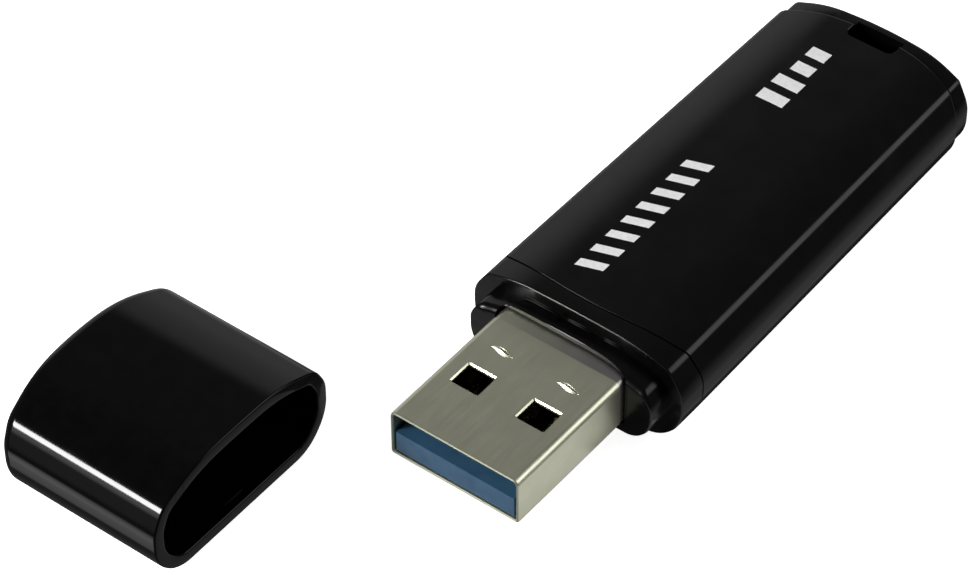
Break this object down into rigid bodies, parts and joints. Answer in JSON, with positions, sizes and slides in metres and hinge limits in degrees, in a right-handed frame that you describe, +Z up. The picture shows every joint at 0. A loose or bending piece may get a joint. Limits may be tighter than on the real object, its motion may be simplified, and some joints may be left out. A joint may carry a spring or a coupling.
{
  "type": "usb flash drive",
  "caption": "Capped flash drive with a standard-size plug, a tapered black housing with a strap bar, and a loose pull-off cap lying beside it.",
  "frame": {"origin": "middle of the housing's flat underside, on the surface that the drive and its cap lie on", "axes": "+X across the drive, to the right when seen from the strap end towards the plug's back; +Y along the drive from the plug towards the strap bar; +Z up"},
  "size_m": [0.0385, 0.0755, 0.0094],
  "materials": {
    "cap_gloss_black": "glossy moulded plastic, nearly black",
    "sleeve_black": "satin black moulded plastic with a small light print on top",
    "collar_black": "satin black moulded plastic",
    "chassis_black": "plain black moulded plastic",
    "plug_metal": "nickel-plated sheet steel with bright edges",
    "plug_blue": "smooth mid-blue moulded plastic",
    "contact_gold": "gold-plated contact strip",
    "board_green": "glass-fibre board under green solder mask",
    "chip_package": "black moulded epoxy",
    "crystal_can": "tinned metal lid",
    "ferrite": "dark grey ceramic",
    "capacitor_ceramic": "tan ceramic"
  },
  "bodies": {
    "drive": {"capacitor_1": "capacitor_ceramic", "capacitor_2": "capacitor_ceramic", "capacitor_3": "capacitor_ceramic", "capacitor_4": "capacitor_ceramic", "chassis_lid": "chassis_black", "chassis_tray": "chassis_black", "circuit_board": "board_green", "controller_chip": "chip_package", "crystal_oscillator": "crystal_can", "esd_protection_chip": "chip_package", "flash_memory_chip": "chip_package", "front_collar": "collar_black", "outer_sleeve": "sleeve_black", "plug_insulator": "plug_blue", "plug_shell": "plug_metal", "power_inductor": "ferrite", "resistor_1": "ferrite", "resistor_2": "ferrite", "resistor_3": "ferrite", "resistor_4": "ferrite", "superspeed_contact_1": "contact_gold", "superspeed_contact_2": "contact_gold", "superspeed_contact_3": "contact_gold", "superspeed_contact_4": "contact_gold", "superspeed_contact_5": "contact_gold", "tail_piece": "collar_black", "usb2_contact_1": "contact_gold", "usb2_contact_2": "contact_gold", "usb2_contact_3": "contact_gold", "usb2_contact_4": "contact_gold", "voltage_regulator": "chip_package"},
    "cap": {"cap": "cap_gloss_black"}
  },
  "joints": [
    {"name": "cap_swing", "type": "hinge", "parent": "drive", "child": "cap", "pos_m": [-0.01018, -0.03483, 0], "axis": [0, 0, 1], "range_deg": [0, 90]}
  ]
}
